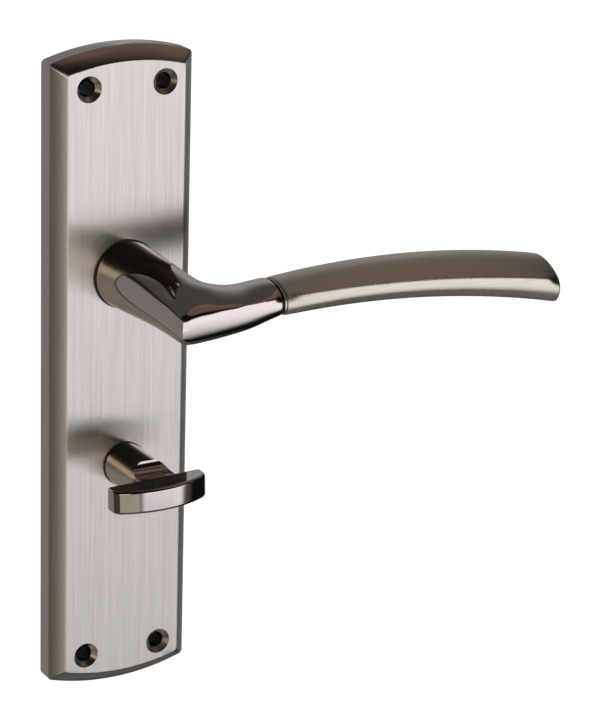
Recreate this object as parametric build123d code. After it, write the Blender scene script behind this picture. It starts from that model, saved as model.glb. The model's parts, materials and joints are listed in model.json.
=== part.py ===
from build123d import *
import os
from math import cos, degrees, hypot, radians, sin, sqrt, tan

# Door lever handle on a long backplate with a privacy turn below it.
# The origin is on the lever's spindle axis at the door's surface. +X runs along
# the lever, +Z is up and +Y goes into the door, so the handle stands towards -Y.
# "Depth" below is the distance in front of the door's surface, which is -Y.

# ---- overall and centre distances (mm)
PLATE_WIDTH = 44.0
PLATE_HEIGHT = 191.0
PLATE_DEPTH = 9.3
LEVER_ABOVE_CENTRE = 30.3
TURN_BELOW_LEVER = 57.0
LEVER_TIP = 120.5
SPINDLE_REACH = 28.0

# ---- backplate
END_RISE = 3.5
PLATE_SIDE = 5.3
BEVEL_WIDTH = 4.2
CORNER_RADIUS = 1.4
PLATE_WALL = 2.5
FACE_WALL = 2.2
SCREW_SPACING_X = 23.5
SCREW_SPACING_Z = 169.5
SCREW_HOLE_RADIUS = 2.2
COUNTERSINK_RADIUS = 3.8
SCREW_BOSS_RADIUS = 5.2
WELD = 0.4

# ---- clearances
RUNNING_FIT = 0.05
BUSH_FIT = 0.05
SOCKET_FIT = 0.05
AXIAL_PLAY = 0.1
STOP_GAP = 0.3
COVER_HOLE_GAP = 0.4

# ---- lever bearing
BOSS_RADIUS = 8.0
LEVER_BUSH_WALL = 1.3
LEVER_FLANGE_OVERHANG = 1.45
LEVER_FLANGE = 0.7
LEVER_TUBE_WALL = 1.85
LEVER_TUBE_BACK = 4.3
BOSS_BACK = 0.3
FLATS_DEPTH = 2.0
SHOULDER_DEPTH = 3.7
WASHER_THICKNESS = 0.5
WASHER_OVERHANG = 0.3
DRIVER_BACK = 2.6
DRIVER_THICKNESS = 1.0
DRIVER_OVERHANG = 1.1
TAB_PAST_ORBIT = 1.1
TAB_THICKNESS = 1.5
TAB_FRONT = 6.0
LUG_WIDTH = 4.0
LEVER_TRAVEL = 45.0
STOP_RADIUS = 1.8
LEVER_CLIP_BACK = 1.7
LEVER_CLIP_THICKNESS = 0.8
LEVER_GROOVE_DEPTH = 1.0
LEVER_CLIP_STANDOUT = 1.0
CLIP_MOUTH = 80.0

# ---- return spring
WIRE = 1.15
COIL_GAP = 1.4
COIL_PITCH = 1.22
COIL_TURNS = 1.6
LEG_PAST_TAB = 0.6
SPRING_BACK = 3.8

# ---- spring cover
COVER_BACK = 0.8
COVER_THICKNESS = 0.6
COVER_SIDE_GAP = 2.0
COVER_POST_GAP = 2.0
COVER_POST_RADIUS = 3.0
COVER_END_MARGIN = 4.5
COVER_SCREW_RADIUS = 1.2
COVER_HEAD_RADIUS = 2.4
COVER_HEAD = 0.6
COVER_SCREW_LENGTH = 4.5

# ---- lever neck
NECK_BASE_RADIUS = 9.85
NECK_MID_RADIUS = 9.35
NECK_MID_DEPTH = 26.0
KNUCKLE_CORNER = (-5.6, 54.5)
KNUCKLE_THROAT = (9.0, 37.0)
KNUCKLE_TOP = 7.9
KNUCKLE_BOTTOM = 8.2
KNUCKLE_CREASE = -1.5
ARM_X = 15.0
ARM_BACK = 35.6
ARM_FRONT = 52.7
ARM_TOP = 5.2
ARM_CREASE = 0.3
ARM_BOTTOM = 6.9
SOCKET_END = 28.0

# ---- joint between neck and grip
JOINT_X = 27.3
JOINT_GAP = 1.4
JOINT_INSET = 0.65
STUD_RADIUS = 2.5
STUD_HALF_LENGTH = 11.0
STUD_DEPTH = 44.0

# ---- grip: height of three lines along it, as start, first rise and later fall
TOP_LINE = (4.6, 8.4, 14.4)
CREASE_LINE = (1.6, 2.4, 9.8)
BOTTOM_LINE = (-4.8, 4.5, 13.4)
GRIP_BACK = (35.0, 31.2)
GRIP_FRONT = (51.3, 50.4)
GRIP_STATIONS = 6
CREASE_SETBACK = 1.4
LOWER_RADIUS = 2.2

# ---- lever spindle and its grub screw
SPINDLE_SIDE = 8.0
SPINDLE_EDGE = 0.5
GRUB_RADIUS = 2.5
GRUB_DEPTH = 17.0
GRUB_SINK = 0.5
GRUB_KEY = 1.25

# ---- privacy turn
TURN_BOSS_RADIUS = 5.0
TURN_BUSH_WALL = 0.95
TURN_FLANGE_OVERHANG = 0.97
TURN_FLANGE = 0.6
TURN_TUBE_WALL = 1.8
TURN_TUBE_BACK = 5.2
TURN_BOSS_BACK = 1.5
TURN_SHANK_RADIUS = 6.4
BAR_HALF_LENGTH = 14.5
BAR_HALF_HEIGHT = 3.3
BAR_BACK = 30.0
BAR_END_FRONT = 34.6
BAR_FRONT = 38.8
BAR_EDGE = 0.7
SHANK_SLOPE_START = 26.2
DISC_SPRING_HEIGHT = 0.9
DISC_SPRING_THICKNESS = 0.4
DISC_SPRING_WIDTH = 2.5
FLAT_WASHER = 0.5
TURN_CLIP_THICKNESS = 0.8
TURN_GROOVE_DEPTH = 0.8
TURN_CLIP_STANDOUT = 1.4
TURN_SPINDLE_SIDE = 5.0
TURN_SPINDLE_EDGE = 0.3
TURN_SOCKET_END = 16.0
PIN_RADIUS = 0.75
PIN_SINK = 0.1
PIN_DEPTH = 7.4
PIN_FIT = 0.02

# ---- derived places
PLATE_CENTRE_Z = -LEVER_ABOVE_CENTRE
TURN_Z = -TURN_BELOW_LEVER
FACE_INNER = PLATE_DEPTH - FACE_WALL
END_ARC_RADIUS = ((PLATE_WIDTH / 2) ** 2 + END_RISE ** 2) / (2 * END_RISE)
LEVER_BORE = BOSS_RADIUS + RUNNING_FIT
LEVER_BUSH_RADIUS = LEVER_BORE + LEVER_BUSH_WALL
LEVER_FLANGE_RADIUS = LEVER_BUSH_RADIUS + LEVER_FLANGE_OVERHANG
LEVER_TUBE_RADIUS = LEVER_BUSH_RADIUS + LEVER_TUBE_WALL
WASHER_RADIUS = LEVER_TUBE_RADIUS + WASHER_OVERHANG
DRIVER_RADIUS = LEVER_TUBE_RADIUS + DRIVER_OVERHANG
FLATS_HALF = BOSS_RADIUS - FLATS_DEPTH
LEVER_CLIP_GROOVE = BOSS_RADIUS - LEVER_GROOVE_DEPTH
LEVER_CLIP_RADIUS = BOSS_RADIUS + LEVER_CLIP_STANDOUT
COIL_RADIUS = LEVER_TUBE_RADIUS + COIL_GAP + WIRE / 2
STOP_ORBIT = COIL_RADIUS + WIRE / 2 + STOP_GAP + STOP_RADIUS
TAB_OUTER = STOP_ORBIT + TAB_PAST_ORBIT
LEG_REACH = TAB_OUTER + LEG_PAST_TAB
COVER_WIDTH = PLATE_WIDTH - 2 * (PLATE_WALL + COVER_SIDE_GAP)
COVER_POST_Z = TAB_OUTER + COVER_POST_GAP + COVER_POST_RADIUS
NECK_START = PLATE_DEPTH + LEVER_FLANGE + AXIAL_PLAY
TURN_BORE = TURN_BOSS_RADIUS + RUNNING_FIT
TURN_BUSH_RADIUS = TURN_BORE + TURN_BUSH_WALL
TURN_FLANGE_RADIUS = TURN_BUSH_RADIUS + TURN_FLANGE_OVERHANG
TURN_CLIP_GROOVE = TURN_BOSS_RADIUS - TURN_GROOVE_DEPTH
TURN_CLIP_RADIUS = TURN_BOSS_RADIUS + TURN_CLIP_STANDOUT
DISC_SPRING_RADIUS = TURN_BORE + RUNNING_FIT + DISC_SPRING_WIDTH
PIN_HALF_LENGTH = TURN_BOSS_RADIUS - PIN_SINK
TURN_START = PLATE_DEPTH + TURN_FLANGE + AXIAL_PLAY
COVER_FRONT = COVER_BACK + COVER_THICKNESS
DRIVER_FRONT = DRIVER_BACK + DRIVER_THICKNESS
DISC_SPRING_BACK = TURN_TUBE_BACK - AXIAL_PLAY - DISC_SPRING_HEIGHT
FLAT_WASHER_BACK = DISC_SPRING_BACK - AXIAL_PLAY - FLAT_WASHER
TURN_CLIP_BACK = FLAT_WASHER_BACK - AXIAL_PLAY - TURN_CLIP_THICKNESS
GRIP_START = JOINT_X + JOINT_GAP

# Angles round the lever axis turn as the lever does: 0 along +X, 90 straight down.
TAB_ANGLE = -90.0
LUG_ANGLE = 90.0
STOP_OFFSET = degrees((LUG_WIDTH / 2 + STOP_RADIUS + STOP_GAP) / STOP_ORBIT)
SPRING_POST_ANGLE = TAB_ANGLE - 360 * COIL_TURNS
TAB_BEND = LUG_WIDTH / 2 + STOP_GAP + WIRE / 2
POST_BEND = STOP_RADIUS + STOP_GAP + WIRE / 2


def facing(depth, z=0.0):
    """Plane facing the room at a depth, with local x along +X and local y up."""
    return Plane(origin=(0, -depth, z), x_dir=(1, 0, 0), z_dir=(0, -1, 0))


def across(x_at, depth_at, x_out, depth_out):
    """Upright plane through one point whose local x runs to a second point."""
    length = hypot(x_out - x_at, depth_out - depth_at)
    along_x = (x_out - x_at) / length
    along_y = -(depth_out - depth_at) / length
    return Plane(
        origin=(x_at, -depth_at, 0),
        x_dir=(along_x, along_y, 0),
        z_dir=(along_y, -along_x, 0),
    )


def rod(radius, back, front, z=0.0):
    """Round bar along the depth."""
    return extrude(facing(back, z) * Circle(radius), amount=front - back)


def tube(outer, inner, back, front, z=0.0):
    """Round tube along the depth."""
    return extrude(facing(back, z) * (Circle(outer) - Circle(inner)), amount=front - back)


def square_bar(side, edge, back, front, z=0.0):
    """Square bar along the depth, with a small chamfer on its long edges."""
    outline = chamfer(Rectangle(side, side).vertices(), edge)
    return extrude(facing(back, z) * outline, amount=front - back)


def square_socket(side, back, front, z=0.0):
    """Square hole along the depth."""
    return extrude(facing(back, z) * Rectangle(side, side), amount=front - back)


def orbit(angle, radius=STOP_ORBIT):
    """Place on a circle round the lever axis, as x and z."""
    return radius * cos(radians(angle)), -radius * sin(radians(angle))


def stop_pin(angle, back, front):
    """Round post cast on the plate, at an angle round the lever axis."""
    x, z = orbit(angle)
    return extrude(facing(back) * Pos(x, z) * Circle(STOP_RADIUS), amount=front - back)


# ---------------------------------------------------------------- backplate
def plate_outline(inset, corner):
    """Plate outline with arched ends, moved inwards by an inset."""
    half = PLATE_WIDTH / 2 - inset
    arc_radius = END_ARC_RADIUS - inset
    arc_centre = PLATE_HEIGHT / 2 - END_ARC_RADIUS
    corner_z = arc_centre + sqrt(arc_radius ** 2 - half ** 2)
    crown_z = arc_centre + arc_radius
    edges = [
        ThreePointArc((half, corner_z), (0, crown_z), (-half, corner_z)),
        Line((-half, corner_z), (-half, -corner_z)),
        ThreePointArc((-half, -corner_z), (0, -crown_z), (half, -corner_z)),
        Line((half, -corner_z), (half, corner_z)),
    ]
    outline = make_face(edges)
    return fillet(outline.vertices(), corner)


def plate_slab(inset, corner, back, front):
    """Upright slab of the plate's outline."""
    base = facing(back, PLATE_CENTRE_Z) * plate_outline(inset, corner)
    return extrude(base, amount=front - back)


def plate_bevel(inset_back, inset_front, corner, back, front):
    """Sloping stretch between two insets of the plate's outline."""
    wide = facing(back, PLATE_CENTRE_Z) * plate_outline(inset_back, corner)
    narrow = facing(front, PLATE_CENTRE_Z) * plate_outline(inset_front, corner)
    return loft([wide, narrow], ruled=True)


def plate_hollow():
    """Space inside the casting, one wall inside its outer surface."""
    bevel_depth = PLATE_DEPTH - PLATE_SIDE
    slope = BEVEL_WIDTH / bevel_depth
    shift = FACE_WALL * hypot(BEVEL_WIDTH, bevel_depth) / bevel_depth
    knee = PLATE_SIDE + (PLATE_WALL - shift) / slope
    inset_front = shift + (FACE_INNER - PLATE_SIDE) * slope
    corner = CORNER_RADIUS / 2
    straight = plate_slab(PLATE_WALL, corner, 0, knee)
    return straight + plate_bevel(PLATE_WALL, inset_front, corner, knee, FACE_INNER)


def screw_places():
    """The four fixing screws, as x and z."""
    places = []
    for side in (-1, 1):
        for end in (-1, 1):
            places.append((side * SCREW_SPACING_X / 2, PLATE_CENTRE_Z + end * SCREW_SPACING_Z / 2))
    return places


def make_backplate():
    plate = plate_slab(0, CORNER_RADIUS, 0, PLATE_SIDE)
    plate += plate_bevel(0, BEVEL_WIDTH, CORNER_RADIUS, PLATE_SIDE, PLATE_DEPTH)
    hollow = plate_hollow()
    plate -= hollow

    inside = FACE_INNER + WELD
    posts = rod(LEVER_TUBE_RADIUS, LEVER_TUBE_BACK, inside)
    posts += rod(TURN_BUSH_RADIUS + TURN_TUBE_WALL, TURN_TUBE_BACK, inside, TURN_Z)
    for x, z in screw_places():
        posts += extrude(facing(0) * Pos(x, z) * Circle(SCREW_BOSS_RADIUS), amount=inside)
    for z in (-COVER_POST_Z, COVER_POST_Z):
        posts += rod(COVER_POST_RADIUS, COVER_FRONT, inside, z)
    posts += stop_pin(LUG_ANGLE - STOP_OFFSET, DRIVER_BACK, inside)
    posts += stop_pin(LUG_ANGLE + LEVER_TRAVEL + STOP_OFFSET, DRIVER_BACK, inside)
    posts += stop_pin(SPRING_POST_ANGLE, DRIVER_FRONT + STOP_GAP, inside)
    plate += posts & plate_slab(WELD, CORNER_RADIUS, 0, inside)

    plate -= rod(LEVER_BUSH_RADIUS + BUSH_FIT, 0, PLATE_DEPTH)
    plate -= rod(TURN_BUSH_RADIUS + BUSH_FIT, 0, PLATE_DEPTH, TURN_Z)
    sink_depth = COUNTERSINK_RADIUS - SCREW_HOLE_RADIUS
    for x, z in screw_places():
        at = Pos(x, z)
        plate -= extrude(facing(0) * at * Circle(SCREW_HOLE_RADIUS), amount=PLATE_DEPTH)
        small = facing(PLATE_DEPTH - sink_depth) * at * Circle(SCREW_HOLE_RADIUS)
        large = facing(PLATE_DEPTH) * at * Circle(COUNTERSINK_RADIUS)
        plate -= loft([small, large])
    for z in (-COVER_POST_Z, COVER_POST_Z):
        plate -= rod(COVER_SCREW_RADIUS + PIN_FIT, COVER_FRONT, COVER_FRONT + COVER_SCREW_LENGTH, z)
    return plate


# ---------------------------------------------------------------- bearings
def flanged_bush(bore, body, flange_radius, flange, back, z=0.0):
    """Bush pressed in from the front, whose flange rests on the plate's face."""
    bush = tube(body, bore, back, PLATE_DEPTH + flange, z)
    return bush + tube(flange_radius, bore, PLATE_DEPTH, PLATE_DEPTH + flange, z)


def retaining_clip(groove, outer, back, thickness, z=0.0):
    """Open ring that snaps into a groove; its mouth is downwards."""
    inner = groove + PIN_FIT
    reach = outer + 1
    side = reach * tan(radians(CLIP_MOUTH / 2))
    corners = [(0, 0), (-side, -reach), (side, -reach)]
    mouth = make_face(Polyline(*corners, close=True))
    outline = Circle(outer) - Circle(inner) - mouth
    return extrude(facing(back, z) * outline, amount=thickness)


# ---------------------------------------------------------------- lever mechanism
def make_driver():
    """Stamped driver: a disc on the boss flats, a bent tab and a stop lug."""
    arm = Rectangle(LUG_WIDTH, TAB_OUTER)
    outline = Circle(DRIVER_RADIUS) + Pos(0, TAB_OUTER / 2) * arm + Pos(0, -TAB_OUTER / 2) * arm
    flats = FLATS_HALF + SOCKET_FIT
    hole = Circle(LEVER_BORE) & Rectangle(3 * LEVER_BORE, 2 * flats)
    driver = extrude(facing(DRIVER_BACK) * (outline - hole), amount=DRIVER_THICKNESS)
    tab = facing(DRIVER_BACK) * Pos(0, TAB_OUTER - TAB_THICKNESS / 2) * Rectangle(LUG_WIDTH, TAB_THICKNESS)
    return driver + extrude(tab, amount=TAB_FRONT - DRIVER_BACK)


def hooked_leg(point, onwards, bend):
    """A bend outwards from the coil's end, then a straight leg along the radius."""
    outwards = Vector(point.X, point.Y, 0).normalized()
    centre = point + outwards * bend
    middle = centre + (onwards - outwards) * (bend / sqrt(2))
    turned = centre + onwards * bend
    tip = turned + outwards * (LEG_REACH - COIL_RADIUS - bend)
    return [ThreePointArc(point, middle, turned), Line(turned, tip)], tip, outwards


def make_return_spring():
    """Torsion spring wound round the bearing tube, with a leg at each end.

    The free leg hooks round the driver's tab. From there the coil climbs towards
    the room against the lever's turning, so that pressing the lever winds it up,
    and the other leg hooks round its post on the plate.
    """
    coil = Helix(COIL_PITCH, COIL_PITCH * COIL_TURNS, COIL_RADIUS, lefthand=True)
    free_leg, free_tip, outwards = hooked_leg(coil @ 0, -(coil % 0), TAB_BEND)
    fixed_leg, _, _ = hooked_leg(coil @ 1, coil % 1, POST_BEND)
    path = Wire([*free_leg, coil, *fixed_leg])
    section = Plane(origin=free_tip, z_dir=outwards) * Circle(WIRE / 2)
    wound = sweep(section, path=path, is_frenet=True)
    start_x, start_z = orbit(TAB_ANGLE, 1)
    first = SPRING_BACK + WIRE / 2
    seat = Plane(origin=(0, -first, 0), x_dir=(start_x, 0, start_z), z_dir=(0, -1, 0))
    return seat.location * wound


# ---------------------------------------------------------------- lever
def profile(plane, points):
    """Closed five-sided section: corners and the points between them."""
    sides = []
    for index in range(0, 10, 2):
        sides.append(ThreePointArc(points[index], points[index + 1], points[(index + 2) % 10]))
    return plane * make_face(sides)


def round_points(radius):
    """Five arcs of one circle, whose corners match those of the lever's section."""
    corners = (12, -32, -62, -125, -215, -348)
    points = []
    for start, end in zip(corners, corners[1:]):
        for angle in (start, (start + end) / 2):
            points.append((radius * cos(radians(angle)), radius * sin(radians(angle))))
    return points


def lever_points(back, front, top, crease, bottom, inset=0.0):
    """Lever section: broad top, crease, upright front, tight lower edge, round back."""
    setback = CREASE_SETBACK
    low = LOWER_RADIUS
    round_back = (top - bottom) / 2
    points = [
        (front - setback - inset, crease - inset / 2),
        (front - setback / 4 - inset, (crease + bottom + low) / 2),
        (front - inset, bottom + low),
        (front - low * 0.3 - inset, bottom + low * 0.3 + inset),
        (front - low, bottom + inset),
        ((front + back) / 2, bottom - 0.1 + inset),
        (back + round_back * 0.8, bottom + 0.3 + inset),
        (back + inset, bottom + round_back * 0.95),
        (back + round_back * 0.9, top - 0.3 - inset),
        (back + (front - back) * 0.62, top - 0.3 - inset),
    ]
    return points


def line_height(line, share):
    """Height of a line along the grip at a share of its length."""
    start, rise, fall = line
    return start + rise * share - fall * share ** 2


def grip_points(share, inset=0.0):
    """Section of the grip at a share of its length."""
    return lever_points(
        GRIP_BACK[0] + (GRIP_BACK[1] - GRIP_BACK[0]) * share,
        GRIP_FRONT[0] + (GRIP_FRONT[1] - GRIP_FRONT[0]) * share,
        line_height(TOP_LINE, share),
        line_height(CREASE_LINE, share),
        line_height(BOTTOM_LINE, share),
        inset,
    )


def side_plane(x):
    """Plane across the lever arm, with local x as the depth and local y up."""
    return across(x, 0, x, 1)


def stud_hole(radius, start, end):
    """Round bar along the lever arm, on the stud's axis."""
    plane = Plane(origin=(start, -STUD_DEPTH, 0), z_dir=(1, 0, 0))
    return extrude(plane * Circle(radius), amount=end - start)


def make_neck():
    knuckle_plane = across(*KNUCKLE_THROAT, *KNUCKLE_CORNER)
    knuckle_width = hypot(KNUCKLE_CORNER[0] - KNUCKLE_THROAT[0], KNUCKLE_CORNER[1] - KNUCKLE_THROAT[1])
    knuckle = profile(
        knuckle_plane,
        lever_points(0, knuckle_width, KNUCKLE_TOP, KNUCKLE_CREASE, -KNUCKLE_BOTTOM),
    )
    base = profile(across(0, NECK_START, -1, NECK_START), round_points(NECK_BASE_RADIUS))
    middle = profile(across(0, NECK_MID_DEPTH, -1, NECK_MID_DEPTH), round_points(NECK_MID_RADIUS))
    arm = profile(side_plane(ARM_X), lever_points(ARM_BACK, ARM_FRONT, ARM_TOP, ARM_CREASE, -ARM_BOTTOM))
    end = profile(side_plane(JOINT_X), grip_points(0))
    neck = loft([base, middle, knuckle]) + loft([knuckle, arm, end])

    boss = rod(BOSS_RADIUS, SHOULDER_DEPTH, NECK_START)
    flats = Circle(BOSS_RADIUS) & Rectangle(3 * BOSS_RADIUS, 2 * FLATS_HALF)
    boss += extrude(facing(BOSS_BACK) * flats, amount=SHOULDER_DEPTH - BOSS_BACK)
    boss -= tube(BOSS_RADIUS + 1, LEVER_CLIP_GROOVE, LEVER_CLIP_BACK - PIN_FIT,
                 LEVER_CLIP_BACK + LEVER_CLIP_THICKNESS + PIN_FIT)
    neck += boss
    neck -= square_socket(SPINDLE_SIDE + 2 * SOCKET_FIT, BOSS_BACK, SOCKET_END)
    neck -= stud_hole(STUD_RADIUS + PIN_FIT, JOINT_X - STUD_HALF_LENGTH, JOINT_X)
    neck -= grub_bar(GRUB_RADIUS + PIN_FIT, -SPINDLE_SIDE / 2, -NECK_BASE_RADIUS - 1)
    return neck


def make_grip():
    sections = []
    for station in range(GRIP_STATIONS):
        share = station / (GRIP_STATIONS - 1)
        x = GRIP_START + (LEVER_TIP - GRIP_START) * share
        sections.append(profile(side_plane(x), grip_points(share)))
    return loft(sections) - stud_hole(STUD_RADIUS + PIN_FIT, GRIP_START, GRIP_START + STUD_HALF_LENGTH)


def make_joint_ring():
    ring = extrude(profile(side_plane(JOINT_X), grip_points(0, JOINT_INSET)), amount=-JOINT_GAP)
    return ring - stud_hole(STUD_RADIUS + PIN_FIT, JOINT_X - 1, GRIP_START + 1)


def grub_bar(radius, top, bottom):
    """Upright round bar on the grub screw's axis."""
    plane = Plane(origin=(0, -GRUB_DEPTH, bottom), z_dir=(0, 0, 1))
    return extrude(plane * Circle(radius), amount=top - bottom)


def make_grub_screw():
    bottom = GRUB_SINK - NECK_MID_RADIUS
    key = Plane(origin=(0, -GRUB_DEPTH, bottom), z_dir=(0, 0, 1)) * RegularPolygon(GRUB_KEY, 6)
    return grub_bar(GRUB_RADIUS, -SPINDLE_SIDE / 2, bottom) - extrude(key, amount=GRUB_RADIUS)


# ---------------------------------------------------------------- privacy turn
def make_turn_knob():
    """Thumb bar on a round shank, with a bearing boss behind."""
    outline = make_face([
        ThreePointArc((BAR_HALF_LENGTH, BAR_END_FRONT), (0, BAR_FRONT), (-BAR_HALF_LENGTH, BAR_END_FRONT)),
        Line((-BAR_HALF_LENGTH, BAR_END_FRONT), (-BAR_HALF_LENGTH, BAR_BACK)),
        Line((-BAR_HALF_LENGTH, BAR_BACK), (BAR_HALF_LENGTH, BAR_BACK)),
        Line((BAR_HALF_LENGTH, BAR_BACK), (BAR_HALF_LENGTH, BAR_END_FRONT)),
    ])
    floor = Plane(origin=(0, 0, TURN_Z - BAR_HALF_HEIGHT), x_dir=(1, 0, 0), z_dir=(0, 0, 1))
    bar = extrude(floor * mirror(outline, about=Plane.XZ), amount=2 * BAR_HALF_HEIGHT)
    bar = fillet(bar.edges(), BAR_EDGE)

    shank = rod(TURN_SHANK_RADIUS, TURN_START, BAR_BACK + 1, TURN_Z)
    slope = make_face(Polyline(
        (SHANK_SLOPE_START, TURN_SHANK_RADIUS),
        (BAR_BACK + 1, BAR_HALF_HEIGHT - BAR_EDGE),
        (BAR_BACK + 1, TURN_SHANK_RADIUS + 1),
        (SHANK_SLOPE_START, TURN_SHANK_RADIUS + 1),
        close=True,
    ))
    wedge = extrude(side_plane(-TURN_SHANK_RADIUS - 1) * slope, amount=-2 * (TURN_SHANK_RADIUS + 1))
    shank -= Pos(0, 0, TURN_Z) * wedge
    shank -= Pos(0, 0, TURN_Z) * mirror(wedge, about=Plane.XY)
    knob = bar + shank + rod(TURN_BOSS_RADIUS, TURN_BOSS_BACK, TURN_START, TURN_Z)
    knob -= tube(TURN_BOSS_RADIUS + 1, TURN_CLIP_GROOVE, TURN_CLIP_BACK - PIN_FIT,
                 TURN_CLIP_BACK + TURN_CLIP_THICKNESS + PIN_FIT, TURN_Z)
    knob -= square_socket(TURN_SPINDLE_SIDE + 2 * SOCKET_FIT, TURN_BOSS_BACK, TURN_SOCKET_END, TURN_Z)
    return knob - pin_bar(PIN_RADIUS + PIN_FIT, TURN_BOSS_RADIUS + 1)


def pin_bar(radius, half_length):
    """Round bar across the turn's boss, along X."""
    plane = Plane(origin=(-half_length, -PIN_DEPTH, TURN_Z), z_dir=(1, 0, 0))
    return extrude(plane * Circle(radius), amount=2 * half_length)


def make_turn_spindle():
    end = TURN_SOCKET_END - AXIAL_PLAY
    bar = square_bar(TURN_SPINDLE_SIDE, TURN_SPINDLE_EDGE, -SPINDLE_REACH, end, TURN_Z)
    return bar - pin_bar(PIN_RADIUS + PIN_FIT, TURN_SPINDLE_SIDE)


def make_disc_spring():
    """Dished washer that presses the turn's clip back and holds the knob where it is left."""
    inner = TURN_BORE + RUNNING_FIT
    high = DISC_SPRING_HEIGHT - DISC_SPRING_THICKNESS
    section = make_face(Polyline(
        (inner, 0),
        (DISC_SPRING_RADIUS, high),
        (DISC_SPRING_RADIUS, DISC_SPRING_HEIGHT),
        (inner, DISC_SPRING_THICKNESS),
        close=True,
    ))
    dish = revolve(Plane.XZ * section, axis=Axis.Z)
    return facing(DISC_SPRING_BACK, TURN_Z) * dish


# ---------------------------------------------------------------- spring cover
def cover_outline():
    ends = COVER_POST_Z + COVER_END_MARGIN
    return RectangleRounded(COVER_WIDTH, 2 * ends, COVER_END_MARGIN)


def make_spring_cover():
    outline = cover_outline() - Circle(BOSS_RADIUS + COVER_HOLE_GAP)
    for z in (-COVER_POST_Z, COVER_POST_Z):
        outline -= Pos(0, z) * Circle(COVER_SCREW_RADIUS + BUSH_FIT)
    return extrude(facing(COVER_BACK) * outline, amount=COVER_THICKNESS)


def make_cover_screws():
    screws = []
    for z in (-COVER_POST_Z, COVER_POST_Z):
        head = rod(COVER_HEAD_RADIUS, COVER_BACK - COVER_HEAD, COVER_BACK, z)
        slot = facing(COVER_BACK - COVER_HEAD, z) * Rectangle(2 * COVER_HEAD_RADIUS, COVER_HEAD)
        shank = rod(COVER_SCREW_RADIUS, COVER_BACK, COVER_FRONT + COVER_SCREW_LENGTH - AXIAL_PLAY, z)
        screws.append(head - extrude(slot, amount=COVER_HEAD / 2) + shank)
    return Compound(screws)


nodes = {
    "backplate": make_backplate,
    "lever_bush": lambda: flanged_bush(LEVER_BORE, LEVER_BUSH_RADIUS, LEVER_FLANGE_RADIUS,
                                       LEVER_FLANGE, LEVER_TUBE_BACK),
    "turn_bush": lambda: flanged_bush(TURN_BORE, TURN_BUSH_RADIUS, TURN_FLANGE_RADIUS,
                                      TURN_FLANGE, TURN_TUBE_BACK, TURN_Z),
    "lever_return_spring": make_return_spring,
    "spring_cover": make_spring_cover,
    "spring_cover_screws": make_cover_screws,
    "lever_neck": make_neck,
    "joint_ring": make_joint_ring,
    "lever_grip": make_grip,
    "joint_stud": lambda: stud_hole(STUD_RADIUS, JOINT_X - STUD_HALF_LENGTH + AXIAL_PLAY,
                                    GRIP_START + STUD_HALF_LENGTH - AXIAL_PLAY),
    "lever_spindle": lambda: square_bar(SPINDLE_SIDE, SPINDLE_EDGE, -SPINDLE_REACH, SOCKET_END - AXIAL_PLAY),
    "spindle_grub_screw": make_grub_screw,
    "lever_thrust_washer": lambda: tube(WASHER_RADIUS, LEVER_BORE + RUNNING_FIT, SHOULDER_DEPTH,
                                        SHOULDER_DEPTH + WASHER_THICKNESS),
    "spring_driver": make_driver,
    "lever_circlip": lambda: retaining_clip(LEVER_CLIP_GROOVE, LEVER_CLIP_RADIUS, LEVER_CLIP_BACK,
                                            LEVER_CLIP_THICKNESS),
    "turn_knob": make_turn_knob,
    "turn_spindle": make_turn_spindle,
    "turn_roll_pin": lambda: pin_bar(PIN_RADIUS, PIN_HALF_LENGTH),
    "turn_disc_spring": make_disc_spring,
    "turn_flat_washer": lambda: tube(DISC_SPRING_RADIUS, TURN_BORE + RUNNING_FIT, FLAT_WASHER_BACK,
                                     FLAT_WASHER_BACK + FLAT_WASHER, TURN_Z),
    "turn_circlip": lambda: retaining_clip(TURN_CLIP_GROOVE, TURN_CLIP_RADIUS, TURN_CLIP_BACK,
                                           TURN_CLIP_THICKNESS, TURN_Z),
}

os.makedirs("parts", exist_ok=True)
for name, make in nodes.items():
    export_step(make(), f"parts/{name}.step")
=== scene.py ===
import json
from math import atan2, cos, hypot, pi, radians, sin, sqrt

import bpy
from mathutils import Matrix, Vector


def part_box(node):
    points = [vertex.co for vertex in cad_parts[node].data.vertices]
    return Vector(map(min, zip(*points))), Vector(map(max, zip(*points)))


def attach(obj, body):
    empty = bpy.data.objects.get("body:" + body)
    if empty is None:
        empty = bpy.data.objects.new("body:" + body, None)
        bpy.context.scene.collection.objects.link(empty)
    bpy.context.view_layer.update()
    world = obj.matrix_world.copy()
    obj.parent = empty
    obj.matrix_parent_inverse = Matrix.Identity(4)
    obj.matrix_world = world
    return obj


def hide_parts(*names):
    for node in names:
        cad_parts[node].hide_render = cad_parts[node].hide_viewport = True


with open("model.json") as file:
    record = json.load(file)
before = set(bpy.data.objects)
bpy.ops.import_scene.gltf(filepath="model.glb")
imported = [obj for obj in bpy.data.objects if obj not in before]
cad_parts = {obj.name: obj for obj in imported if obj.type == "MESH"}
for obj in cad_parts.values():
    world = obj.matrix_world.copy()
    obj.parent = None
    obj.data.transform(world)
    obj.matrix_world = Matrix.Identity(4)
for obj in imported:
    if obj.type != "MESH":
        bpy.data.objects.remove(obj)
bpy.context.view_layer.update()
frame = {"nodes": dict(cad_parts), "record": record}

# Sizes are in millimetres and turned to metres where a mesh is made. "Depth" is the
# distance in front of the door's surface, which is -Y; +X runs along the lever.
MM = 0.001

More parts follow.
